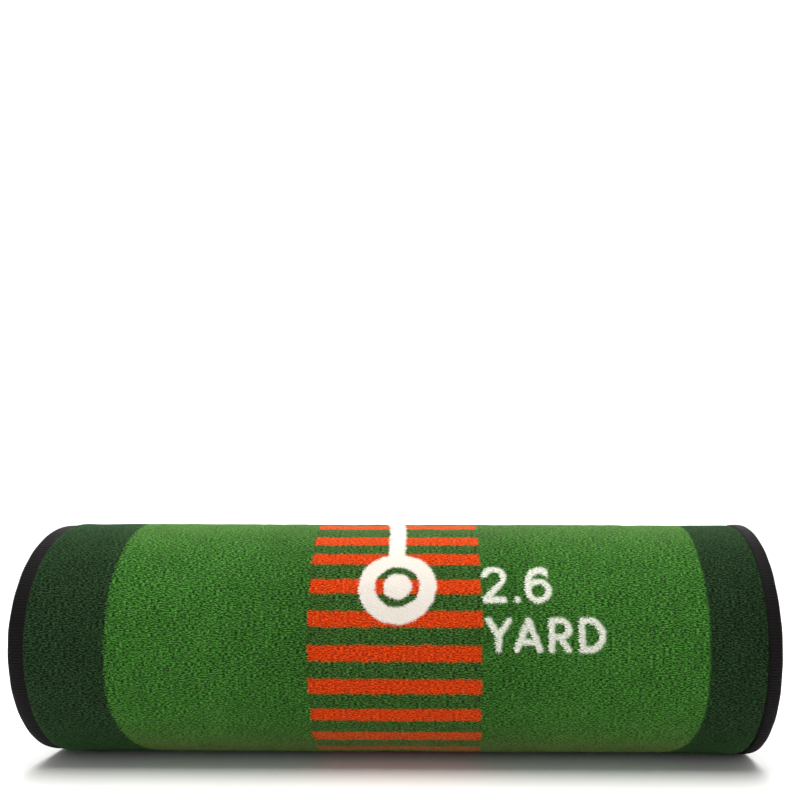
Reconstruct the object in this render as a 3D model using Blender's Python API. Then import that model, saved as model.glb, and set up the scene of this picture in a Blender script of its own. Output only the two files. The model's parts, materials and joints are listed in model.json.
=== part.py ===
"""Practice putting mat, rolled up with its printed pile outward and lying on its side.

The roll's centre line runs along X, the printed side that shows faces -Y, and the roll rests on z = 0.
The sheet is three bonded layers with a serged binding round all four edges. Its tail end lies at the
back, where it is split into flaps on hinges so that it can be unrolled flat on the floor.

A place along the sheet is a station number: 0 at the tail end, one more at each bend towards the core.
A place through the sheet is a depth below the tips of the pile.
"""

import math

import bmesh
import bpy
from mathutils import Vector

# The sheet
MAT_WIDTH = 0.500
PILE_HEIGHT = 0.0030
CLOTH_THICKNESS = 0.0006
RUBBER_THICKNESS = 0.0018

# The serged binding: a U-shaped strip over every edge
BINDING_WIDTH = 0.0100
BINDING_RECESS = 0.0006  # the pile's tips stand this much above the binding
BINDING_LEG = 0.0005  # the leg on the rubber side
BINDING_WALL = 0.0015  # outside the edge of the cloth and rubber

# The roll
CORE_RADIUS = 0.0190  # the free hole down its middle
TURNS = 8.6
FACETS_PER_TURN = 20
TAIL_FLAPS = 5  # facets that can be unrolled, counted from the tail end

PIECE_GAP = 0.0003  # between pieces that touch
SLOT_OVERRUN = 0.0020  # how far a slot's cutter runs past the binding's open side

# Depths through the sheet
CLOTH_TOP = PILE_HEIGHT + PIECE_GAP
CLOTH_BOTTOM = CLOTH_TOP + CLOTH_THICKNESS
RUBBER_TOP = CLOTH_BOTTOM + PIECE_GAP
RUBBER_BOTTOM = RUBBER_TOP + RUBBER_THICKNESS
SLOT_TOP = PILE_HEIGHT
SLOT_BOTTOM = RUBBER_BOTTOM + PIECE_GAP
BINDING_BOTTOM = SLOT_BOTTOM + BINDING_LEG

# The spiral
STEP = 2 * math.pi / FACETS_PER_TURN
STATIONS = round(TURNS * FACETS_PER_TURN)
TURN_PITCH = BINDING_BOTTOM + PIECE_GAP  # the end bindings lie on the pile of the turn below
CORE_END_RADIUS = CORE_RADIUS + BINDING_BOTTOM
TAIL_RADIUS = CORE_END_RADIUS + TURN_PITCH * STATIONS / FACETS_PER_TURN

# Across the mat
HALF_WIDTH = MAT_WIDTH / 2
BINDING_INNER_X = HALF_WIDTH - BINDING_WIDTH
PILE_HALF_WIDTH = BINDING_INNER_X - PIECE_GAP
SLOT_HALF_WIDTH = HALF_WIDTH - BINDING_WALL
CLOTH_HALF_WIDTH = SLOT_HALF_WIDTH - PIECE_GAP

DOWN = -math.pi / 2


def radius(station):
    """Distance of the pile's tips from the roll's centre line at a bend."""
    return TAIL_RADIUS - TURN_PITCH * station / FACETS_PER_TURN


def leveling():
    """Turn that makes the facet under the roll exactly level, as the spiral's facets lean a little."""
    back, front = radius(TAIL_FLAPS), radius(TAIL_FLAPS + 1)
    return math.atan((back - front) / ((back + front) * math.tan(STEP / 2)))


def bend(station, depth):
    """A layer's corner at a bend, as (y, z) from the roll's centre line."""
    angle = DOWN + leveling() + (TAIL_FLAPS + 0.5 - station) * STEP
    reach = radius(station) - depth
    return Vector((reach * math.cos(angle), reach * math.sin(angle)))


def sheet_point(station, depth):
    """A point anywhere along a layer, on the straight facet between its two bends."""
    before = min(int(station), STATIONS - 1)
    return bend(before, depth).lerp(bend(before + 1, depth), station - before)


def walk(station, distance):
    """The station a distance further along the pile's tips, towards the core if it is positive."""
    while distance > 0:
        facet = int(station)
        length = (bend(facet + 1, 0) - bend(facet, 0)).length
        room = (facet + 1 - station) * length
        if distance <= room:
            return station + distance / length
        station, distance = facet + 1, distance - room
    while distance < 0:
        facet = math.ceil(station) - 1
        length = (bend(facet + 1, 0) - bend(facet, 0)).length
        room = (station - facet) * length
        if -distance <= room:
            return station + distance / length
        station, distance = facet, distance + room
    return station


def band(start, end, top, bottom):
    """The outline of a layer between two stations and two depths."""
    bends = range(math.floor(start) + 1, math.ceil(end))
    stations = [start, *bends, end]
    upper = [sheet_point(s, top) for s in stations]
    lower = [sheet_point(s, bottom) for s in reversed(stations)]
    return upper + lower


def finish(name, colour, roughness):
    """A plain material."""
    material = bpy.data.materials.new(name)
    material.use_nodes = True
    shader = material.node_tree.nodes["Principled BSDF"]
    shader.inputs["Base Color"].default_value = (*colour, 1)
    shader.inputs["Roughness"].default_value = roughness
    shader.inputs["Metallic"].default_value = 0
    material.diffuse_color = (*colour, 1)
    return material


def strip(name, points, x_low, x_high, holder, material, collection):
    """A length of one layer: its outline seen along X, extruded across the mat."""
    curve = bpy.data.curves.new(name, "CURVE")
    curve.dimensions = "2D"
    curve.fill_mode = "BOTH"
    curve.extrude = (x_high - x_low) / 2
    spline = curve.splines.new("POLY")
    spline.points.add(len(points) - 1)
    spline.use_cyclic_u = True
    home = holder["home"]
    for corner, (y, z) in zip(spline.points, points):
        corner.co = (y - home[0], z - home[1], 0, 1)
    piece = bpy.data.objects.new(name, curve)
    piece.rotation_euler = (math.pi / 2, 0, math.pi / 2)
    piece.location = ((x_low + x_high) / 2, 0, 0)
    piece.parent = holder
    curve.materials.append(material)
    collection.objects.link(piece)
    return piece


def as_mesh(curve_piece):
    """The same piece as a mesh with its caps welded on, ready for a Boolean."""
    bpy.context.view_layer.update()
    evaluated = curve_piece.evaluated_get(bpy.context.evaluated_depsgraph_get())
    mesh = bpy.data.meshes.new_from_object(evaluated)
    sheet = bmesh.new()
    sheet.from_mesh(mesh)
    bmesh.ops.remove_doubles(sheet, verts=sheet.verts, dist=1e-6)
    bmesh.ops.recalc_face_normals(sheet, faces=sheet.faces)
    sheet.to_mesh(mesh)
    sheet.free()
    mesh.shade_smooth()
    mesh.set_sharp_from_angle(angle=math.radians(30))
    name = curve_piece.name
    piece = bpy.data.objects.new(name, mesh)
    piece.parent = curve_piece.parent
    piece.matrix_world = curve_piece.matrix_world
    for collection in curve_piece.users_collection:
        collection.objects.link(piece)
    bpy.data.objects.remove(curve_piece)
    piece.name = name
    return piece


def slot_cutter(name, start, end, x_low, x_high, roll, cutters):
    """The space that the cloth and rubber take inside a binding."""
    points = band(start, end, SLOT_TOP, SLOT_BOTTOM)
    cutter = as_mesh(strip(name, points, x_low, x_high, roll, None, cutters))
    cutter.hide_render = True
    cutter.display_type = "WIRE"
    return cutter


def binding(name, start, end, x_low, x_high, cutter, holder, material, collection):
    """A length of serged edge, slotted for the cloth and rubber."""
    points = band(start, end, BINDING_RECESS, BINDING_BOTTOM)
    piece = as_mesh(strip(name, points, x_low, x_high, holder, material, collection))
    cut = piece.modifiers.new("slot", "BOOLEAN")
    cut.operation = "DIFFERENCE"
    cut.solver = "EXACT"
    cut.object = cutter
    return piece


def empty(name, place, home, parent, collection):
    """An empty at a place, which remembers where it stands from the roll's centre line."""
    holder = bpy.data.objects.new(name, None)
    holder.empty_display_size = 0.02
    holder.location = place
    holder.parent = parent
    holder["home"] = home
    collection.objects.link(holder)
    return holder


def roll_centre():
    """The centre line's place that stands the roll on z = 0 with its box centred on the origin."""
    corners = [bend(s, 0) for s in range(FACETS_PER_TURN + 1)]
    depths = [y for y, _ in corners]
    return Vector((0, -(min(depths) + max(depths)) / 2, -min(z for _, z in corners)))


def clear_scene():
    for thing in list(bpy.data.objects):
        bpy.data.objects.remove(thing)


def build():
    clear_scene()
    mat = bpy.data.collections.new("putting_mat")
    cutters = bpy.data.collections.new("cutters")
    bpy.context.scene.collection.children.link(mat)
    bpy.context.scene.collection.children.link(cutters)

    pile_finish = finish("printed_pile", (0.045, 0.150, 0.030), 0.95)
    cloth_finish = finish("base_cloth", (0.300, 0.300, 0.280), 0.90)
    rubber_finish = finish("rubber_backing", (0.020, 0.020, 0.021), 0.70)
    yarn_finish = finish("binding_yarn", (0.018, 0.013, 0.015), 0.85)

    roll = empty("roll", roll_centre(), (0.0, 0.0), None, mat)

    # Stations where the layers end under the bindings of the tail and core ends
    half_gap = PIECE_GAP / 2
    core_end = STATIONS
    tail_wall, core_wall = walk(0, BINDING_WALL), walk(core_end, -BINDING_WALL)
    tail_cloth = walk(tail_wall, PIECE_GAP)
    core_cloth = walk(core_wall, -PIECE_GAP)
    tail_binding, core_binding = walk(0, BINDING_WIDTH), walk(core_end, -BINDING_WIDTH)
    tail_pile = walk(tail_binding, PIECE_GAP)
    core_pile = walk(core_binding, -PIECE_GAP)

    # Slots in the bindings
    inner_x = BINDING_INNER_X - SLOT_OVERRUN
    left_slot = slot_cutter("left_slot", tail_wall, core_wall, -SLOT_HALF_WIDTH, -inner_x, roll, cutters)
    right_slot = slot_cutter("right_slot", tail_wall, core_wall, inner_x, SLOT_HALF_WIDTH, roll, cutters)
    past_tail = walk(tail_binding, SLOT_OVERRUN)
    past_core = walk(core_binding, -SLOT_OVERRUN)
    tail_slot = slot_cutter("tail_slot", tail_wall, past_tail, -HALF_WIDTH, HALF_WIDTH, roll, cutters)
    core_slot = slot_cutter("core_slot", past_core, core_wall, -HALF_WIDTH, HALF_WIDTH, roll, cutters)

    def add_length(label, start, end, holder):
        """All five strips of one length of the sheet, between the split lines at its two ends."""
        at_tail, at_core = start == 0, end == core_end
        first = start if at_tail else walk(start, half_gap)
        last = end if at_core else walk(end, -half_gap)
        pile_ends = (tail_pile if at_tail else first, core_pile if at_core else last)
        cloth_ends = (tail_cloth if at_tail else first, core_cloth if at_core else last)
        pile = band(*pile_ends, 0, PILE_HEIGHT)
        cloth = band(*cloth_ends, CLOTH_TOP, CLOTH_BOTTOM)
        rubber = band(*cloth_ends, RUBBER_TOP, RUBBER_BOTTOM)
        strip(f"pile_{label}", pile, -PILE_HALF_WIDTH, PILE_HALF_WIDTH, holder, pile_finish, mat)
        strip(f"base_cloth_{label}", cloth, -CLOTH_HALF_WIDTH, CLOTH_HALF_WIDTH, holder, cloth_finish, mat)
        strip(f"rubber_{label}", rubber, -CLOTH_HALF_WIDTH, CLOTH_HALF_WIDTH, holder, rubber_finish, mat)
        left, right = f"left_binding_{label}", f"right_binding_{label}"
        binding(left, first, last, -HALF_WIDTH, -BINDING_INNER_X, left_slot, holder, yarn_finish, mat)
        binding(right, first, last, BINDING_INNER_X, HALF_WIDTH, right_slot, holder, yarn_finish, mat)

    # The roll itself, and the flaps of its tail, each on a hinge at the tips of the pile
    add_length("roll", TAIL_FLAPS, core_end, roll)
    holder, holder_home = roll, Vector((0.0, 0.0))
    for flap in range(1, TAIL_FLAPS + 1):
        station = TAIL_FLAPS + 1 - flap
        home = bend(station, 0)
        place = Vector((0, *(home - holder_home)))
        holder = empty(f"flap_{flap}_hinge", place, tuple(home), holder, mat)
        holder_home = home
        add_length(f"flap_{flap}", station - 1, station, holder)

    # The bindings across the two ends, between those along the sides
    end_x = BINDING_INNER_X - PIECE_GAP
    binding("tail_end_binding", 0, tail_binding, -end_x, end_x, tail_slot, holder, yarn_finish, mat)
    binding("core_end_binding", core_binding, core_end, -end_x, end_x, core_slot, roll, yarn_finish, mat)


build()
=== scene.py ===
"""Rolled practice putting mat: printed pile, base cloth, rubber backing and serged binding."""

import json
import math

import bpy
import numpy as np
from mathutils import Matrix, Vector


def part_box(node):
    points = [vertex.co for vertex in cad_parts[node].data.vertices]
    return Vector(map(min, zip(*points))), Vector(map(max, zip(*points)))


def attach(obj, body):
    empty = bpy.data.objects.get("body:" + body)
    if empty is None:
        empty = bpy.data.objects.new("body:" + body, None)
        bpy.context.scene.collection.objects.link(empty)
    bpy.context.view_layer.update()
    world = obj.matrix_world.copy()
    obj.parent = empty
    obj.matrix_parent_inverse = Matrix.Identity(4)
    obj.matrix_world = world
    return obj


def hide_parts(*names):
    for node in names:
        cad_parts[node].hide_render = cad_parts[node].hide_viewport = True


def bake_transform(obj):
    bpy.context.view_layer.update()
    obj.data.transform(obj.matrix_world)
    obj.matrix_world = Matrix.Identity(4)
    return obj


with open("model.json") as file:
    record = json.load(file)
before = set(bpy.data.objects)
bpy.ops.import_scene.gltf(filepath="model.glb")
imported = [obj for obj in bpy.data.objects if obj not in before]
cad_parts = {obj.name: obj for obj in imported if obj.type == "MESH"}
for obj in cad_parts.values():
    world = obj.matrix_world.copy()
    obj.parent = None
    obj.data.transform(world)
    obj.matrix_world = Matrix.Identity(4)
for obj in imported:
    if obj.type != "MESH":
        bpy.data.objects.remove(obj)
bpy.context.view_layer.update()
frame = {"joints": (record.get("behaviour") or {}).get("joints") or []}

bl_info = {
    "name": "Rolled Putting Mat",
    "version": (1, 0, 0),
    "blender": (4, 5, 0),
    "location": "View3D > Sidebar > Putting Mat",
    "description": "Builds a rolled putting mat, its serged edges and a plain studio",
    "category": "Add Mesh",
}

# How the mat is rolled, as the CAD model has it, in metres and radians.
MAT_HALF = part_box("right_binding_roll")[1].x
TURN_PITCH = 0.0071
TAIL_RADIUS = 0.08686
TURNS = 8.6
FACET = math.radians(18)
HINGES = [Vector(joint["pos_m"]) for joint in frame["joints"]]


def centre_line():
    """(y, z) of the line that the mat is wound about: both ends of the flat under flap_1 are as far from it."""
    near = TAIL_RADIUS - TURN_PITCH * 5 / 20
    lean = math.atan(TURN_PITCH / 20 / ((2 * near - TURN_PITCH / 20) * math.tan(FACET / 2)))
    down = -math.pi / 2 + lean
    return (
        HINGES[0].y - near * math.cos(down + FACET / 2),
        HINGES[0].z - near * math.sin(down + FACET / 2),
        down + 5.5 * FACET,
    )


CENTRE_Y, CENTRE_Z, TAIL_ANGLE = centre_line()
FLOOR_TURN = TAIL_ANGLE + math.pi / 2


# ---------------------------------------------------------------- the rolled sheet


def length_at(turn, radius):
    """Length of pile from the tail end to a turn, in radians."""
    return radius * turn - TURN_PITCH * turn**2 / (4 * math.pi)


def turn_at(length, radius):
    """The turn that a length of pile reaches."""
    return (radius - np.sqrt(radius**2 - TURN_PITCH * length / math.pi)) * 2 * math.pi / TURN_PITCH


def rolled(flat, radius):
    """Points of the flat mat (across, along, depth under the pile tips) where the roll has them."""
    across, along, depth = flat[..., 0], flat[..., 1], flat[..., 2]
    turn = np.where(along < 0, along / radius, turn_at(np.maximum(along, 0), radius))
    reach = radius - TURN_PITCH * turn / (2 * math.pi) - depth
    angle = TAIL_ANGLE - turn
    y = CENTRE_Y + reach * np.cos(angle)
    z = CENTRE_Z + reach * np.sin(angle)
    rests_at = np.maximum(depth, 0) + TURN_PITCH * np.maximum(turn - FLOOR_TURN, 0) / (2 * math.pi)
    gap = z - rests_at
    return np.stack([across, y, rests_at + (gap + np.sqrt(gap**2 + 0.0002**2)) / 2], axis=-1)


def ripple(a, b, size, seed):
    """Smooth seeded unevenness from -1 to 1 over two lengths, with lumps of about size."""
    table = np.random.default_rng(seed).uniform(-1, 1, (64, 64))
    u, v = a / size, b / size
    i, j = np.floor(u).astype(int), np.floor(v).astype(int)
    s, t = u - i, v - j
    s, t = s * s * (3 - 2 * s), t * t * (3 - 2 * t)
    near = table[i % 64, j % 64] * (1 - s) + table[(i + 1) % 64, j % 64] * s
    far = table[i % 64, (j + 1) % 64] * (1 - s) + table[(i + 1) % 64, (j + 1) % 64] * s
    return near * (1 - t) + far * t


def wander(along):
    """How far the turns stray along the roll, because no mat is rolled up perfectly."""
    return 0.00035 * np.sin(along / 0.083 + 1.2) + 0.00025 * np.sin(along / 0.031 + 1.3)


def eased(value, start, end):
    """0 before start, 1 after end and smooth between."""
    t = np.clip((value - start) / (end - start), 0, 1)
    return t * t * (3 - 2 * t)


def new_piece(name, flat, faces, radius, smooth):
    """A mesh of flat points rolled up, which keeps its flat places for the materials. The first faces are smooth."""
    mesh = bpy.data.meshes.new(name)
    mesh.from_pydata(rolled(flat, radius).tolist(), [], faces)
    mesh.attributes.new("flat_place", "FLOAT_VECTOR", "POINT").data.foreach_set(
        "vector", flat.astype(np.float32).ravel()
    )
    # The rims and end faces stay flat, so that neighbouring lengths meet without a seam.
    mesh.polygons.foreach_set("use_smooth", [i < smooth for i in range(len(faces))])
    mesh.update()
    piece = bpy.data.objects.new(name, mesh)
    bpy.context.scene.collection.objects.link(piece)
    return piece


def layer(name, across, along, top, bottom, radius, relief=None):
    """One closed length of a layer: a fine grid on top, one long quad a step underneath, and its rims."""
    rows, columns = len(along), len(across)
    x, s = np.meshgrid(across, along)
    depth = np.full_like(x, top) - (relief(x, s) if relief else 0)
    upper = np.stack([x + wander(s), s, depth], axis=-1).reshape(-1, 3)
    edge = np.array([[side + wander(length), length, bottom] for length in along for side in across[[0, -1]]])
    start = rows * columns
    corner = (np.arange(rows - 1)[:, None] * columns + np.arange(columns - 1)).ravel()
    faces = np.stack([corner, corner + 1, corner + columns + 1, corner + columns], axis=1).tolist()
    faces += [[u, u + 2, u + 3, u + 1] for u in range(start, start + 2 * rows - 2, 2)]
    smooth = len(faces)
    for row in range(rows - 1):
        left, right = row * columns, row * columns + columns - 1
        under = start + 2 * row
        faces.append([left, left + columns, under + 2, under])
        faces.append([right + columns, right, under + 1, under + 3])
    first, last = list(range(columns)), list(range((rows - 1) * columns, rows * columns))
    faces.append(first[::-1] + [start, start + 1])
    faces.append(last + [start + 2 * rows - 1, start + 2 * rows - 2])
    piece = new_piece(name, np.concatenate([upper, edge]), faces, radius, smooth)

    def surface(x, s):
        depth = top - (relief(x, s) if relief else 0)
        return rolled(np.stack([x + wander(s), s, np.broadcast_to(depth, x.shape)], axis=-1), radius)

    reach = min(across[1] - across[0], along[1] - along[0])
    facing = np.cross(
        surface(x + reach, s) - surface(x - reach, s), surface(x, s + reach) - surface(x, s - reach)
    ).reshape(-1, 3)
    inward = np.array([(0, -math.cos(TAIL_ANGLE - turn_at(e, radius)), -math.sin(TAIL_ANGLE - turn_at(e, radius))) for e in along])
    share_normals(piece, np.concatenate([facing, np.repeat(inward, 2, axis=0)]), 4 * smooth)
    return piece


def share_normals(piece, facing, smooth_corners):
    """Gives the wide faces the whole sheet's normals, so that no seam shows where two lengths meet."""
    mesh = piece.data
    facing = facing / np.linalg.norm(facing, axis=1, keepdims=True)
    corners = np.zeros(len(mesh.loops), np.int32)
    mesh.loops.foreach_get("vertex_index", corners)
    normals = np.zeros((len(corners), 3))
    normals[:smooth_corners] = facing[corners[:smooth_corners]]
    mesh.normals_split_custom_set(normals.tolist())


def bead(name, stations, ring, radius):
    """A closed rounded edging: ring gives the outline's flat points at each of the stations."""
    rows = np.array([ring(station) for station in stations])
    count, points = rows.shape[:2]
    i, j = np.meshgrid(np.arange(count - 1), np.arange(points), indexing="ij")
    a, b = i * points + j, i * points + (j + 1) % points
    faces = np.stack([a, b, b + points, a + points], axis=-1).reshape(-1, 4).tolist()
    faces.append(list(range(points))[::-1])
    faces.append(list(range((count - 1) * points, count * points)))
    return new_piece(name, rows.reshape(-1, 3), faces, radius, len(faces) - 2)


def steps(start, end, size):
    """Evenly spaced places from start to end, about size apart."""
    return np.linspace(start, end, max(2, int(round((end - start) / size)) + 1))


def lengths(first, last, size, radius):
    """Places along the mat between two turns in degrees, about size apart."""
    return steps(length_at(math.radians(first), radius), length_at(math.radians(last), radius), size)


# Turns, in degrees from the tail end, where each length of the mat starts and ends, and what carries it.
SPANS = [
    ("tail", 0, 9, ("flap_5",)),
    ("bend_5", 9, 27, ("flap_4", "flap_5")),
    ("bend_4", 27, 45, ("flap_3", "flap_4")),
    ("bend_3", 45, 63, ("flap_2", "flap_3")),
    ("bend_2", 63, 81, ("flap_1", "flap_2")),
    ("bend_1", 81, 99, ("roll", "flap_1")),
    ("outer_turn", 99, 470, ("roll",)),
    ("inner_turns", 470, TURNS * 360, ("roll",)),
]


def carry(piece, layer_name, span, first, last, radius):
    """Hangs a length of a layer on its CAD body; a length that spans the joint between two bodies is left where it is
    built.
    """
    bodies = span[3]
    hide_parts(f"{layer_name}_{bodies[-1]}")
    if len(bodies) == 1:
        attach(piece, bodies[0])
        return
    ends = [rolled(np.array([0, length, 0.0]), radius) for length in (last, first)]
    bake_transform(piece)


# ---------------------------------------------------------------- shader maths


class Wire:
    """A shader socket that values and other sockets can be added to, multiplied by and so on."""

    def __init__(self, tree, socket, kind="VALUE"):
        self.tree, self.socket, self.kind = tree, socket, kind

    def _math(self, operation, *others, reverse=False):
        terms = [self, *others]
        if reverse:
            terms.reverse()
        vector = any(isinstance(t, Wire) and t.kind == "VECTOR" for t in terms)
        kind = "ShaderNodeVectorMath" if vector else "ShaderNodeMath"
        return self.tree.node(kind, {"operation": operation}, dict(enumerate(terms)))

    def __add__(self, other):
        return self._math("ADD", other)

    __radd__ = __add__

    def __sub__(self, other):
        return self._math("SUBTRACT", other)

    def __rsub__(self, other):
        return self._math("SUBTRACT", other, reverse=True)

    def __mul__(self, other):
        return self._math("MULTIPLY", other)

    __rmul__ = __mul__

    def __truediv__(self, other):
        return self._math("DIVIDE", other)

    def __rtruediv__(self, other):
        return self._math("DIVIDE", other, reverse=True)

    def __pow__(self, other):
        return self._math("POWER", other)

    def __neg__(self):
        return self * -1

    def __abs__(self):
        return self._math("ABSOLUTE")

    def root(self):
        return self._math("SQRT")

    def sine(self):
        return self._math("SINE")

    def tanh(self):
        return self._math("TANH")

    def least(self, other):
        return self._math("MINIMUM", other)

    def most(self, other):
        return self._math("MAXIMUM", other)

    def above(self, other):
        return self._math("GREATER_THAN", other)

    def clamped(self):
        return self.least(1.0).most(0.0)

    def between(self, low, high, smooth=True):
        """0 where the value is low, 1 where it is high."""
        shape = "SMOOTHSTEP" if smooth else "LINEAR"
        return self.tree.node(
            "ShaderNodeMapRange",
            {"interpolation_type": shape, "clamp": True},
            {"Value": self, "From Min": low, "From Max": high, "To Min": 0.0, "To Max": 1.0},
        )

    def inside(self, edge, soft):
        """1 where a distance is under edge, with a soft rim."""
        return 1 - self.between(edge - soft, edge + soft)


class Finish:
    """A material's node tree with a Principled shader, built by name."""

    def __init__(self, name, **constants):
        self.material = bpy.data.materials.new(name)
        self.material.use_nodes = True
        self.tree = self.material.node_tree
        self.tree.nodes.clear()
        shader = self.tree.nodes.new("ShaderNodeBsdfPrincipled")
        out = self.tree.nodes.new("ShaderNodeOutputMaterial")
        self.tree.links.new(shader.outputs[0], out.inputs["Surface"])
        for socket, value in constants.items():
            shader.inputs[socket.replace("_", " ")].default_value = value
        self.shaders = [shader]

    def node(self, kind, settings=None, inputs=None, output=0):
        """One node: its settings first, then its values and links."""
        made = self.tree.nodes.new(kind)
        for key, value in (settings or {}).items():
            setattr(made, key, value)
        for key, value in (inputs or {}).items():
            self.join(value, made.inputs[key])
        socket = made.outputs[output]
        return Wire(self, socket, "VECTOR" if socket.type in ("VECTOR", "RGBA") else "VALUE")

    def join(self, value, socket):
        """Links a wire to a socket, or sets the socket's own value."""
        if isinstance(value, Wire):
            self.tree.links.new(value.socket, socket)
        elif socket.type == "VECTOR" and not hasattr(value, "__len__"):
            socket.default_value = (value,) * 3
        elif socket.type == "RGBA" and len(value) == 3:
            socket.default_value = (*value, 1)
        else:
            socket.default_value = value

    def place(self):
        """The flat place of the point: across, along and depth, in millimetres."""
        flat = self.node("ShaderNodeAttribute", {"attribute_name": "flat_place"}, output="Vector") * 1000.0
        parts = self.node("ShaderNodeSeparateXYZ", inputs={0: flat})
        made = parts.socket.node
        return [Wire(self, socket) for socket in made.outputs]

    def point(self, x, y, z=0.0):
        return self.node("ShaderNodeCombineXYZ", inputs={0: x, 1: y, 2: z})

    def noise(self, where, scale, detail=2.0, roughness=0.55):
        return self.node(
            "ShaderNodeTexNoise",
            inputs={"Vector": where, "Scale": scale, "Detail": detail, "Roughness": roughness},
        )

    def mix(self, factor, first, second):
        """first where the factor is 0, second where it is 1, for colours."""
        made = self.tree.nodes.new("ShaderNodeMix")
        made.data_type = "RGBA"
        self.join(factor, made.inputs["Factor"])
        self.join(first, made.inputs[6])
        self.join(second, made.inputs[7])
        return Wire(self, made.outputs[2], "VECTOR")

    def bump(self, height, distance, strength, under=None):
        inputs = {"Height": height, "Distance": distance, "Strength": strength}
        if under is not None:
            inputs["Normal"] = under
        return self.node("ShaderNodeBump", inputs=inputs)

    def beside(self, share, **constants):
        """A second shader with its own constants, which shows where share is 1."""
        other = self.tree.nodes.new("ShaderNodeBsdfPrincipled")
        both = self.tree.nodes.new("ShaderNodeMixShader")
        out = next(n for n in self.tree.nodes if n.type == "OUTPUT_MATERIAL")
        self.join(share, both.inputs["Fac"])
        self.tree.links.new(self.shaders[0].outputs[0], both.inputs[1])
        self.tree.links.new(other.outputs[0], both.inputs[2])
        self.tree.links.new(both.outputs[0], out.inputs["Surface"])
        for socket, value in constants.items():
            other.inputs[socket.replace("_", " ")].default_value = value
        self.shaders.append(other)

    def wear(self, **wires):
        """Gives each shader its varying sockets and returns the material."""
        for shader in self.shaders:
            for socket, wire in wires.items():
                self.join(wire, shader.inputs[socket.replace("_", " ")])
        return self.material


# ---------------------------------------------------------------- the print


def stroke(x, y, ax, ay, bx, by):
    """Distance from (x, y) to a straight stroke's middle line."""
    run, rise = bx - ax, by - ay
    square = run * run + rise * rise
    dx, dy = x - ax, y - ay
    share = (dx * (run / square) + dy * (rise / square)).clamped()
    return ((dx - share * run) ** 2.0 + (dy - share * rise) ** 2.0).root()


def bow(x, y, cx, cy, wide, tall, keep):
    """Distance to the part of an oval stroke where keep is over 0."""
    dx, dy = (x - cx) / wide, (y - cy) / tall
    ring = abs((dx**2.0 + dy**2.0).root() - 1) * min(wide, tall)
    return ring + (1 - keep.above(0.0)) * 100.0


def distance_mark(x, y):
    """Distance to the strokes of the generic mark "2.6 YARD". x is across and y up, in mm."""
    two = bow(x, y, 65.0, 38.4, 6.3, 6.5, (y - 38.4).most((x - 65.0).least(y - 34.9)))
    two = two.least(stroke(x, y, 70.4, 35.2, 59.3, 22.4)).least(stroke(x, y, 59.3, 22.4, 71.6, 22.4))
    dot = stroke(x, y, 80.2, 22.5, 80.2, 22.7)
    six = bow(x, y, 94.0, 28.9, 6.7, 6.6, y + 100.0)
    six = six.least(bow(x, y, 95.2, 34.0, 7.9, 10.2, (100.4 - x).least(y - 34.0)))
    six = six.least(stroke(x, y, 87.3, 28.9, 87.3, 34.0))
    y_mark = stroke(x, y, 61.2, 8.7, 67.8, -0.9).least(stroke(x, y, 74.6, 8.7, 67.8, -0.9))
    y_mark = y_mark.least(stroke(x, y, 67.8, -0.9, 67.8, -9.7))
    a_mark = stroke(x, y, 79.4, -9.7, 86.8, 8.7).least(stroke(x, y, 94.2, -9.7, 86.8, 8.7))
    a_mark = a_mark.least(stroke(x, y, 81.9, -4.9, 91.7, -4.9))
    r_mark = stroke(x, y, 101.8, -9.7, 101.8, 8.7).least(stroke(x, y, 101.8, 8.7, 107.2, 8.7))
    r_mark = r_mark.least(stroke(x, y, 101.8, -1.7, 107.2, -1.7))
    r_mark = r_mark.least(bow(x, y, 107.2, 3.5, 5.4, 5.2, x - 107.2))
    r_mark = r_mark.least(stroke(x, y, 107.0, -1.7, 112.4, -9.7))
    d_mark = stroke(x, y, 121.2, -9.7, 121.2, 8.7).least(stroke(x, y, 121.2, 8.7, 125.4, 8.7))
    d_mark = d_mark.least(stroke(x, y, 121.2, -9.7, 125.4, -9.7))
    d_mark = d_mark.least(bow(x, y, 125.4, -0.5, 8.8, 9.2, x - 125.4))
    marks = two.least(dot).least(six).least(y_mark).least(a_mark)
    return marks.least(r_mark).least(d_mark)


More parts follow.
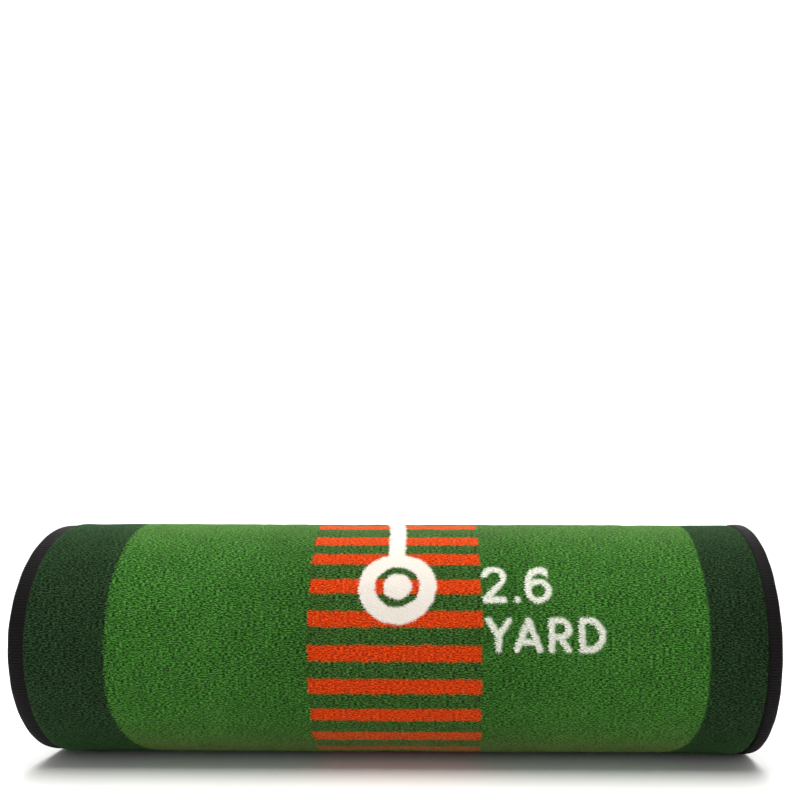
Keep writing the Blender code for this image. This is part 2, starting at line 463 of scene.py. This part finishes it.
def printed_pile(looks):
    """The plush: fairway green with its dark surround, stripes, target, line and distance mark."""
    f = Finish(
        "printed pile",
        Sheen_Weight=looks.pile_sheen,
        Sheen_Roughness=0.25,
        Sheen_Tint=(*looks.sheen_tint, 1),
        Specular_IOR_Level=0.04,
    )
    across, along, _ = f.place()
    where = f.point(across, along)
    # Grain: short dashes across the mat, in light and dark tufts, bunched and combed a little.
    comb = f.noise(where, 0.09, 2.0) * 2.4
    dash = f.noise(f.point(across * 0.5, along * 1.5 + comb), 1.0, 1.4, 0.5)
    speck = f.noise(f.point(across * 1.0, along * 2.3 + comb, 7.0), 1.0, 1.0, 0.5)
    cloud = f.noise(where, 0.045, 3.0, 0.6)
    tuft = (dash * 0.68 + speck * 0.32).between(0.405, 0.60, smooth=False)
    bleed = f.node("ShaderNodeTexNoise", inputs={"Vector": where, "Scale": 0.2, "Detail": 4.0}, output="Color")
    parts = f.node("ShaderNodeSeparateXYZ", inputs={0: bleed}).socket.node
    stray = looks.bleed * 1000
    x = across + (Wire(f, parts.outputs[0]) - 0.5) * stray + (dash - 0.5) * (stray * 1.9)
    s = along + (Wire(f, parts.outputs[1]) - 0.5) * stray + (speck - 0.5) * (stray * 1.8)
    # Fairway green, with its half-round end towards the tail.
    end_x = (x - 8.5) ** 2.0
    past = (250.0 - s).most(0.0) ** 2.0
    fairway = (end_x + past).root().inside(194.5, 0.9)
    # Stripes across the line, one of them on the target.
    target = looks.target_along * 1000
    pitch = looks.stripe_pitch * 1000
    drawn_in = (s - target).between(20.0, 40.0) * (1 - (s - target).between(47.0, 64.0)) * 3.4
    beat = f.node("ShaderNodeMath", {"operation": "FRACT"}, {0: (s - target + drawn_in) / pitch + 10.5})
    strip = abs(beat - 0.5) * pitch
    drift = 1.2 - (s - 300.0).most(0.0).least(110.0) * 0.030
    ragged = (f.noise(f.point(across * 0.01, along * 0.09), 1.0, 2.0) - 0.5) * 5.0
    block = (abs(x - drift) + ragged).inside(56.0, 0.9) * abs(s - target).inside(pitch * 10.7, 0.5)
    stripes = strip.inside(looks.stripe_thickness * 500, 0.85) * block
    # The target's ring and dot, and the line that runs from it.
    from_target = ((x - 2.0) ** 2.0 + (s - target) ** 2.0).root()
    ring = abs(from_target - 20.1).inside(5.5, 0.8)
    dot = from_target.inside(9.2, 0.8)
    up = s - target
    swing = ((up - 125.0) / 30.0).tanh()
    slope = (1 - swing**2.0) * 1.83
    course = abs(x - 0.6 + (swing + 1) * 55.0) / (slope**2.0 + 1).root()
    line = course.inside(5.6, 0.8) * up.between(16.0, 18.0)
    letters = distance_mark(x, s - looks.mark_along * 1000).inside(2.0, 0.8)
    white = ring.most(dot).most(line)
    shade = (tuft**1.6 * 2.25 + 0.15) * (cloud * 0.6 + 0.7)
    lane = abs(x - 0.3)
    shade = shade * (1 - lane.between(50.0, 56.0) * (1 - lane.between(66.0, 118.0)) * 0.16)
    gain = f.point(shade, shade, shade)
    # The dark surround gets darker towards the right-hand edge: painted shade.
    surround = f.mix((x / 500 + 0.5).clamped(), looks.surround_green, tuple(0.86 * c for c in looks.surround_green))
    colour = f.mix(fairway, surround, looks.fairway_green)
    colour = f.mix(block, colour, looks.stripe_ground) * gain
    warm = tuft * 1.05 + 0.46
    orange = f.node(
        "ShaderNodeVectorMath", {"operation": "MULTIPLY"}, {0: looks.stripe_orange, 1: f.point(warm, warm**1.6, warm)}
    )
    colour = f.mix(stripes, colour, orange)
    dusty = tuft * 0.6 + 0.66
    chalk = f.node(
        "ShaderNodeVectorMath", {"operation": "MULTIPLY"}, {0: looks.mark_white, 1: f.point(dusty * 0.9, dusty, dusty * 0.94)}
    )
    colour = f.mix(letters, colour, chalk)
    pale = tuft * 0.1 + 0.93
    snow = f.node("ShaderNodeVectorMath", {"operation": "MULTIPLY"}, {0: looks.mark_white, 1: f.point(pale, pale, pale)})
    colour = f.mix(white, colour, snow)
    bump = f.bump(dash * 0.6 + speck * 0.4, 0.0012, 0.8)
    f.beside(
        (1 - fairway) * (1 - block),
        Sheen_Weight=looks.surround_sheen,
        Sheen_Roughness=0.25,
        Sheen_Tint=(0.36, 1.0, 0.3, 1),
        Specular_IOR_Level=0.03,
    )
    return f.wear(Base_Color=colour, Roughness=0.86 + tuft * 0.1, Normal=bump)


def binding_yarn(looks):
    """Black serging yarn: ribs across the edge, each a bundle of fine strands, with painted shade in the valleys
    between the ribs.
    """
    f = Finish(
        "binding yarn",
        Sheen_Weight=0.03,
        Sheen_Roughness=0.35,
        Sheen_Tint=(0.75, 0.68, 0.7, 1),
        Specular_IOR_Level=0.1,
    )
    along, around, _ = f.place()
    pitch = looks.rib_pitch * 1000
    wave = f.noise(f.point(along * 0.1, around * 0.2), 1.0, 2.0) * 1.6
    rib = ((along + wave) * (2 * math.pi / pitch)).sine() * 0.5 + 0.5
    strand = f.noise(f.point(along * 3.2, around * 0.45), 1.0, 3.0, 0.6)
    fluff = f.noise(f.point(along * 1.2, around * 1.2, 3.0), 1.0, 3.0, 0.65)
    # The yarn is darker in the valleys between the ribs: painted shade; the strands and fluff add random tone.
    grain_and_valley_shade = rib * 0.4 + strand * 0.5 + fluff * 0.5
    light = tuple(1.9 * c for c in looks.yarn_black)
    dark = tuple(0.35 * c for c in looks.yarn_black)
    colour = f.mix(grain_and_valley_shade.between(0.3, 1.1), dark, light)
    bump = f.bump(rib * 0.7 + strand * 0.3 + fluff * 0.25, 0.0007, 0.7)
    return f.wear(Base_Color=colour, Roughness=0.62 + fluff * 0.25, Normal=bump)


def base_cloth(looks):
    """The knitted ground that the pile stands in."""
    f = Finish("base cloth", Sheen_Weight=0.2, Sheen_Roughness=0.4, Specular_IOR_Level=0.2)
    across, along, _ = f.place()
    warp = (across * (2 * math.pi / 1.4)).sine() * 0.5 + 0.5
    weft = (along * (2 * math.pi / 1.1)).sine() * 0.5 + 0.5
    knit = warp * weft
    fluff = f.noise(f.point(across, along), 1.3, 3.0, 0.6)
    pale = looks.cloth_green
    # The cloth is darker between the loops of the knit: painted shade; the fluff adds random tone.
    colour = f.mix((knit * 0.6 + fluff * 0.5).clamped(), tuple(0.45 * c for c in pale), pale)
    return f.wear(Base_Color=colour, Roughness=0.8 + fluff * 0.15, Normal=f.bump(knit + fluff * 0.4, 0.0004, 0.6))


def rubber_backing(looks):
    """Moulded black rubber with a fine diamond grip."""
    f = Finish("rubber backing", Specular_IOR_Level=0.42)
    across, along, _ = f.place()
    one = ((across + along) * (2 * math.pi / 4.0)).sine() * 0.5 + 0.5
    two = ((across - along) * (2 * math.pi / 4.0)).sine() * 0.5 + 0.5
    grid = one * two
    pits = f.noise(f.point(across, along), 1.4, 3.0, 0.6)
    dust = f.noise(f.point(across, along), 0.05, 4.0, 0.6)
    # The rubber is darker in the grooves of its grip and in its pits: painted shade; the lighter patches are dust.
    colour = f.mix(
        (grid * 0.35 + dust * 0.5 + pits * 0.2).clamped(),
        tuple(0.6 * c for c in looks.rubber_black),
        tuple(1.8 * c for c in looks.rubber_black),
    )
    return f.wear(Base_Color=colour, Roughness=0.5 + dust * 0.3, Normal=f.bump(grid + pits * 0.3, 0.0006, 0.6))


def pale_sweep(looks):
    """The studio's floor and wall: matt pale paper."""
    f = Finish("pale sweep", Specular_IOR_Level=0.1)
    where = f.node("ShaderNodeTexCoord", output="Object")
    cloud = f.noise(where, 3.0, 2.0)
    colour = f.mix(cloud, looks.floor_pale, tuple(0.985 * c for c in looks.floor_pale))
    return f.wear(Base_Color=colour, Roughness=0.8 + cloud * 0.1)


MATERIALS = {}


def material(make):
    """Each finish is made once."""
    name = make.__name__
    if name not in MATERIALS:
        MATERIALS[name] = make(bpy.context.scene.mat_looks)
    return MATERIALS[name]


# ---------------------------------------------------------------- settings


def colour_setting(name, description, default):
    return bpy.props.FloatVectorProperty(
        name=name, description=description, subtype="COLOR", size=3, min=0, max=1, default=default
    )


def length_setting(name, description, default):
    return bpy.props.FloatProperty(
        name=name, description=description, subtype="DISTANCE", unit="LENGTH", precision=4, default=default
    )


class MatSizes(bpy.types.PropertyGroup):
    """Sizes of the layers and of the serged edges."""

    outer_radius: length_setting("Outer radius", "Radius of the pile tips at the tail end", TAIL_RADIUS * 0.9945)
    pile_depth: length_setting("Pile", "Height of the pile", 0.0030)
    cloth_top: length_setting("Cloth top", "Depth of the base cloth's upper face", 0.0033)
    cloth_bottom: length_setting("Cloth bottom", "Depth of the base cloth's lower face", 0.0039)
    rubber_top: length_setting("Rubber top", "Depth of the rubber's upper face", 0.0042)
    rubber_bottom: length_setting("Rubber bottom", "Depth of the rubber's lower face", 0.0060)
    binding_width: length_setting("Binding width", "How far the serging reaches in from the edge", 0.0100)
    binding_bottom: length_setting("Binding bottom", "Depth of the serging's lower side", 0.0067)
    pile_step: length_setting("Pile step", "Size of the pile's grid", 0.0019)
    clump_height: length_setting("Clump height", "Height of the clumps of tufts", 0.00016)
    lump_height: length_setting("Lump height", "Height of the broad lumps in the rolled mat", 0.00030)


class MatLooks(bpy.types.PropertyGroup):
    """Colours of the print and finishes, and where the print lies."""

    fairway_green: colour_setting("Fairway", "Green of the putting lane", (0.031, 0.112, 0.0165))
    surround_green: colour_setting("Surround", "Dark green round the lane", (0.0130, 0.0310, 0.0120))
    stripe_ground: colour_setting("Stripe ground", "Green between the stripes", (0.028, 0.078, 0.0150))
    stripe_orange: colour_setting("Stripes", "Orange of the cross stripes", (0.52, 0.039, 0.0042))
    mark_white: colour_setting("Marks", "White of the target, line and distance", (0.70, 0.65, 0.59))
    yarn_black: colour_setting("Yarn", "Black of the serging yarn", (0.0042, 0.0034, 0.0036))
    cloth_green: colour_setting("Base cloth", "Green-grey of the base cloth", (0.10, 0.12, 0.09))
    rubber_black: colour_setting("Rubber", "Black of the backing", (0.016, 0.016, 0.017))
    sheen_tint: colour_setting("Sheen tint", "Tint of the pile's sheen", (0.80, 1.0, 0.34))
    floor_pale: colour_setting("Sweep", "Pale paper of the studio", (0.93, 0.93, 0.93))
    pile_sheen: bpy.props.FloatProperty(name="Sheen", description="Sheen of the pile tips", default=0.42)
    surround_sheen: bpy.props.FloatProperty(
        name="Surround sheen", description="Sheen of the pile tips in the dark surround", default=0.19
    )
    bleed: length_setting("Bleed", "How far the dye strays at the edge of a colour", 0.0027)
    target_along: length_setting("Target", "From the tail end to the target's centre", 0.3225)
    mark_along: length_setting("Distance mark", "From the tail end to the mark's base line", 0.2909)
    stripe_pitch: length_setting("Stripe pitch", "From one stripe to the next", 0.0221)
    stripe_thickness: length_setting("Stripe thickness", "Thickness of a stripe", 0.0102)
    rib_pitch: length_setting("Rib pitch", "From one wrap of the serging to the next", 0.0020)


class MatStudio(bpy.types.PropertyGroup):
    """Strengths of the studio's lights."""

    top_power: bpy.props.FloatProperty(name="Top light", description="Power of the soft light above", default=22.5)
    front_power: bpy.props.FloatProperty(name="Front light", description="Power of the soft light in front", default=1)
    back_power: bpy.props.FloatProperty(name="Back light", description="Power of the light from behind", default=11)
    wall_power: bpy.props.FloatProperty(name="Wall light", description="Power of the light on the wall", default=60)
    sky: bpy.props.FloatProperty(name="Sky", description="Strength of the light from all round", default=0.46)


# ---------------------------------------------------------------- operators


def pile_rims(sizes):
    """Where the pile meets the serging on the left and on the right."""
    return -MAT_HALF + sizes.binding_width + 0.0018, MAT_HALF - sizes.binding_width + 0.0012


def pile_relief(sizes):
    """Clumps of tufts, broad lumps, and the round-over where the pile meets the serging."""
    left, right = pile_rims(sizes)

    def relief(x, s):
        clumps = sizes.clump_height * (ripple(x, s, 0.0061, 5) + 0.6 * ripple(x, s, 0.0097, 6))
        lumps = sizes.lump_height * ripple(x, s, 0.046, 7)
        inward = np.minimum(np.minimum(x - left, right - x), s - 0.0085) + 0.0009 * ripple(x, s, 0.0034, 9)
        return clumps + lumps - 0.0011 * (1 - eased(inward, 0, 0.0028))

    return relief


class PUTTINGMAT_OT_pile(bpy.types.Operator):
    """Roll up the printed pile"""

    bl_idname = "puttingmat.pile"
    bl_label = "Printed Pile"

    def execute(self, context):
        sizes = context.scene.mat_sizes
        radius = sizes.outer_radius
        left, right = pile_rims(sizes)
        for span in SPANS:
            inner = span[0] == "inner_turns"
            size = 0.006 if inner else sizes.pile_step
            along = lengths(span[1], span[2], size, radius)
            if span[0] == "tail":
                along = steps(0.0025, along[-1], size)
            across = steps(left, right, 0.02 if inner else size)
            piece = layer(
                f"pile_{span[0]}", across, along, 0, sizes.pile_depth, radius, pile_relief(sizes)
            )
            piece.data.materials.append(material(printed_pile))
            carry(piece, "pile", span, along[0], along[-1], radius)
        return {"FINISHED"}


class PUTTINGMAT_OT_backing(bpy.types.Operator):
    """Roll up the base cloth and the rubber backing under the pile"""

    bl_idname = "puttingmat.backing"
    bl_label = "Base Cloth and Rubber"

    def execute(self, context):
        sizes = context.scene.mat_sizes
        radius = sizes.outer_radius
        rim = MAT_HALF - 0.002
        layers = [
            ("base_cloth", sizes.cloth_top, sizes.cloth_bottom, base_cloth, "base_cloth", "rubber"),
            ("rubber", sizes.rubber_top, sizes.rubber_bottom, rubber_backing, "rubber_backing", "pile"),
        ]
        for name, top, bottom, finish, slot_name, below in layers:
            for span in SPANS:
                size = 0.004 if span[0] == "inner_turns" else 0.0012
                along = lengths(span[1], span[2], size, radius)
                if span[0] == "tail":
                    along = steps(0.002, along[-1], size)
                across = steps(-rim, rim, 0.05)
                piece = layer(f"{name}_{span[0]}", across, along, top, bottom, radius)
                piece.data.materials.append(material(finish))
                carry(piece, name, span, along[0], along[-1], radius)
        return {"FINISHED"}


def outline(points):
    """Round-cornered outline of the serging, as shares of its half width and half thickness."""
    angle = np.linspace(0, 2 * math.pi, points, endpoint=False)
    wide, thick = np.cos(angle), np.sin(angle)
    round_edge = np.where(wide > 0, 0.85, 0.5)
    return np.sign(wide) * np.abs(wide) ** round_edge, np.sign(thick) * np.abs(thick) ** 0.72


def side_ring(sizes, looks, side, points, ribbed):
    """The side serging's outline at each length. The right one stands proud of the pile, the left one is sunk."""
    wide, thick = outline(points)
    around = np.linspace(0, 0.030, points)
    radius = sizes.outer_radius
    outer = MAT_HALF if side > 0 else MAT_HALF - 0.0008

    def ring(along):
        turn = turn_at(max(along, 0), radius)
        free = 1 - eased(turn, math.radians(300), math.radians(345))
        rise = 0.0010 if side > 0 else -0.0006
        top = 0.0005 - rise * free + (0.0004 if turn > 6 else 0)
        width = sizes.binding_width * (0.98 if side > 0 else 1.28)
        middle, half = (top + sizes.binding_bottom) / 2, (sizes.binding_bottom - top) / 2
        rib = 0.00014 * math.sin(2 * math.pi * along / looks.rib_pitch) if ribbed else 0
        out = 0.0003 * math.sin(along / 0.011) * math.sin(along / 0.0047 + 2)
        x = outer - width / 2 + out * 0.5 + wide * (width / 2 + rib)
        depth = middle - thick * (half + rib)
        return np.stack([side * x + wander(along), np.full(points, along), depth], axis=-1)

    return ring, around


class PUTTINGMAT_OT_side_bindings(bpy.types.Operator):
    """Serge both long edges of the mat"""

    bl_idname = "puttingmat.side_bindings"
    bl_label = "Side Bindings"

    def execute(self, context):
        sizes, looks = context.scene.mat_sizes, context.scene.mat_looks
        radius = sizes.outer_radius
        for side, name in ((-1, "left_binding"), (1, "right_binding")):
            for span in SPANS:
                inner = span[0] == "inner_turns"
                points = 14 if inner else 20
                ring, around = side_ring(sizes, looks, side, points, ribbed=not inner)
                along = lengths(span[1], span[2], 0.0011 if inner else looks.rib_pitch / 4, radius)
                if span[0] == "tail":
                    along = steps(0.0006, along[-1], looks.rib_pitch / 4)
                piece = bead(f"{name}_{span[0]}", along, ring, radius)
                yarn_places(piece, np.repeat(along, points), np.tile(around, len(along)))
                if side > 0:
                    piece.data.flip_normals()
                carry(piece, name, span, along[0], along[-1], radius)
        return {"FINISHED"}


def yarn_places(piece, along, around):
    """The serging's own places for its finish: along its edge and round its outline."""
    flat = np.stack([along, around, np.zeros_like(along)], axis=-1)
    piece.data.attributes["flat_place"].data.foreach_set("vector", flat.astype(np.float32).ravel())
    piece.data.materials.append(material(binding_yarn))


class PUTTINGMAT_OT_end_bindings(bpy.types.Operator):
    """Serge the tail end and the core end of the mat"""

    bl_idname = "puttingmat.end_bindings"
    bl_label = "End Bindings"

    def execute(self, context):
        sizes, looks = context.scene.mat_sizes, context.scene.mat_looks
        radius = sizes.outer_radius
        far = length_at(TURNS * 2 * math.pi, radius)
        points = 20
        wide, thick = outline(points)
        for name, body, edge, inward in (
            ("tail_end_binding", "flap_5", 0.0, 1),
            ("core_end_binding", "roll", far, -1),
        ):
            stations = steps(-MAT_HALF + 0.0012, MAT_HALF - 0.0012, looks.rib_pitch / 4)
            width = sizes.binding_width

            def ring(x, edge=edge, inward=inward, width=width):
                """The outline at one place across the mat, rounded off at the corners."""
                corner = 1 - eased(MAT_HALF - abs(x), 0.0004, 0.006)
                size = 1 - 0.45 * corner**2
                rib = 0.00014 * math.sin(2 * math.pi * x / looks.rib_pitch)
                middle, half = (0.0004 + sizes.binding_bottom) / 2, (sizes.binding_bottom - 0.0004) / 2
                along = edge + inward * (width / 2 - wide * (width / 2 * size + rib))
                lift = 0.0010 * corner * (inward > 0)
                depth = middle - lift - thick * (half * size + rib)
                return np.stack([np.full(points, x), along, depth], axis=-1)

            piece = bead(f"{name}_yarn", stations, ring, radius)
            yarn_places(piece, np.repeat(stations, points), np.tile(np.linspace(0, 0.03, points), len(stations)))
            if inward > 0:
                piece.data.flip_normals()
            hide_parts(name)
            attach(piece, body)
        return {"FINISHED"}


class PUTTINGMAT_OT_stage(bpy.types.Operator):
    """Set up the pale sweep, the soft lights and the camera"""

    bl_idname = "puttingmat.stage"
    bl_label = "Studio"

    def execute(self, context):
        scene, studio = context.scene, context.scene.mat_studio
        sweep_round = 0.9
        floor = [(-12.0, 0.0), (1.4, 0.0)]
        bend = [
            (1.4 + sweep_round * math.sin(a), sweep_round * (1 - math.cos(a)))
            for a in np.linspace(0.05, math.pi / 2, 24)
        ]
        profile = [*floor, *bend, (1.4 + sweep_round, 6.0)]
        points = [(x, y, z - 0.00015) for y, z in profile for x in (-12.0, 12.0)]
        faces = [(2 * i, 2 * i + 1, 2 * i + 3, 2 * i + 2) for i in range(len(profile) - 1)]
        mesh = bpy.data.meshes.new("sweep")
        mesh.from_pydata(points, [], faces)
        mesh.polygons.foreach_set("use_smooth", [True] * len(faces))
        mesh.materials.append(material(pale_sweep))
        sweep = bpy.data.objects.new("sweep", mesh)
        scene.collection.objects.link(sweep)

        soft_light("top_light", studio.top_power, 1.6, 0.9, (0.0, -0.2, 1.3), (0, -0.03, 0.1), (1.0, 0.985, 0.95))
        soft_light("front_light", studio.front_power, 1.8, 1.0, (-0.25, -1.75, 0.95), (0, 0, 0.08), (1.0, 0.99, 0.97))
        soft_light("back_light", studio.back_power, 1.6, 0.5, (0.0, 0.95, 1.0), (0, 0, 0.12), (1.0, 0.99, 0.96))
        soft_light("wall_light", studio.wall_power, 2.4, 0.8, (0.0, 0.9, 2.2), (0, 2.4, 0.8), (1.0, 1.0, 1.0))
        world = bpy.data.worlds.new("studio")
        world.use_nodes = True
        world.node_tree.nodes["Background"].inputs["Color"].default_value = (1, 1, 1, 1)
        world.node_tree.nodes["Background"].inputs["Strength"].default_value = studio.sky
        scene.world = world

        camera = bpy.data.cameras.new("camera")
        camera.lens = 36.36
        camera.sensor_width = 36.0
        camera.shift_x = -0.0624
        camera.shift_y = 0.156
        camera.clip_start = 0.01
        view = bpy.data.objects.new("camera", camera)
        view.location = (0.0418, CENTRE_Y - 0.599, CENTRE_Z + 0.0809)
        view.rotation_euler = (math.pi / 2, -0.0019, 0.0105)
        scene.collection.objects.link(view)
        scene.camera = view
        scene.view_settings.view_transform = "Standard"
        return {"FINISHED"}


def soft_light(name, power, wide, tall, place, towards, colour):
    """A rectangular soft box."""
    light = bpy.data.lights.new(name, "AREA")
    light.shape = "RECTANGLE"
    light.size, light.size_y = wide, tall
    light.energy = power
    light.color = colour
    box = bpy.data.objects.new(name, light)
    box.location = place
    box.rotation_euler = (Vector(towards) - Vector(place)).to_track_quat("-Z", "Y").to_euler()
    bpy.context.scene.collection.objects.link(box)


class PUTTINGMAT_PT_panel(bpy.types.Panel):
    """Builds the mat piece by piece"""

    bl_label = "Putting Mat"
    bl_idname = "PUTTINGMAT_PT_panel"
    bl_space_type = "VIEW_3D"
    bl_region_type = "UI"
    bl_category = "Putting Mat"

    def draw(self, context):
        for operator in OPERATORS:
            self.layout.operator(operator.bl_idname)
        for group in (context.scene.mat_sizes, context.scene.mat_looks, context.scene.mat_studio):
            box = self.layout.box()
            for name in group.bl_rna.properties.keys():
                if name not in ("rna_type", "name"):
                    box.prop(group, name)


OPERATORS = [
    PUTTINGMAT_OT_pile,
    PUTTINGMAT_OT_backing,
    PUTTINGMAT_OT_side_bindings,
    PUTTINGMAT_OT_end_bindings,
    PUTTINGMAT_OT_stage,
]
GROUPS = {"mat_sizes": MatSizes, "mat_looks": MatLooks, "mat_studio": MatStudio}


def register():
    for cls in (*GROUPS.values(), *OPERATORS, PUTTINGMAT_PT_panel):
        bpy.utils.register_class(cls)
    for name, group in GROUPS.items():
        setattr(bpy.types.Scene, name, bpy.props.PointerProperty(type=group))


def unregister():
    for name in GROUPS:
        delattr(bpy.types.Scene, name)
    for cls in reversed((*GROUPS.values(), *OPERATORS, PUTTINGMAT_PT_panel)):
        bpy.utils.unregister_class(cls)


def main():
    register()
    for operator in OPERATORS:
        group, name = operator.bl_idname.split(".")
        getattr(getattr(bpy.ops, group), name)()


if __name__ == "__main__":
    main()
